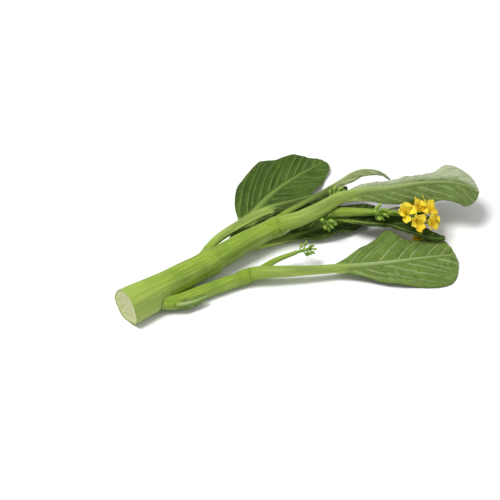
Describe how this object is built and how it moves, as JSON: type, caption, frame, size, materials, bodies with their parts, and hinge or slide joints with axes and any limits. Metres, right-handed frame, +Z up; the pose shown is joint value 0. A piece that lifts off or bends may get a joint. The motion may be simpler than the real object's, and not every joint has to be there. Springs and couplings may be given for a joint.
{
  "type": "choy sum shoot",
  "caption": "Cut flowering shoot of choy sum lying on its side: ribbed green stem, side branch, broad stalked leaves, bud sprigs and a head of yellow flowers.",
  "frame": {"origin": "middle of the shoot's footprint, on the surface that it lies on", "axes": "+X along the shoot, from its cut end to its leaf tips; +Z up from the surface; the side branch and its broad leaf are on the -Y side"},
  "size_m": [0.2466, 0.171, 0.0298],
  "materials": {
    "stem": "smooth waxy green skin with faint lengthwise ribs; pale moist pith at the cut",
    "leaf": "satin leaf skin, paler and duller underneath, with pale raised veins",
    "bud": "satin yellow-green buds on thin stalks",
    "flower": "thin matte yellow petals"
  },
  "bodies": {
    "root": {"stem": "stem", "side_branch": "stem", "top_leaf": "leaf", "far_narrow_leaf": "leaf", "far_broad_leaf": "leaf", "branch_leaf": "leaf", "under_leaf": "leaf", "arched_leaf": "leaf", "flower_side_leaf": "leaf", "axil_leaf": "leaf", "raceme_tip_buds": "bud", "near_side_buds": "bud", "middle_buds": "bud", "top_buds": "bud", "branch_tip_buds": "bud", "flower_1": "flower", "flower_2": "flower", "flower_3": "flower", "flower_4": "flower", "flower_5": "flower", "flower_6": "flower", "flower_7": "flower", "flower_8": "flower", "flower_9": "flower", "flower_10": "flower", "flower_11": "flower"}
  },
  "joints": []
}
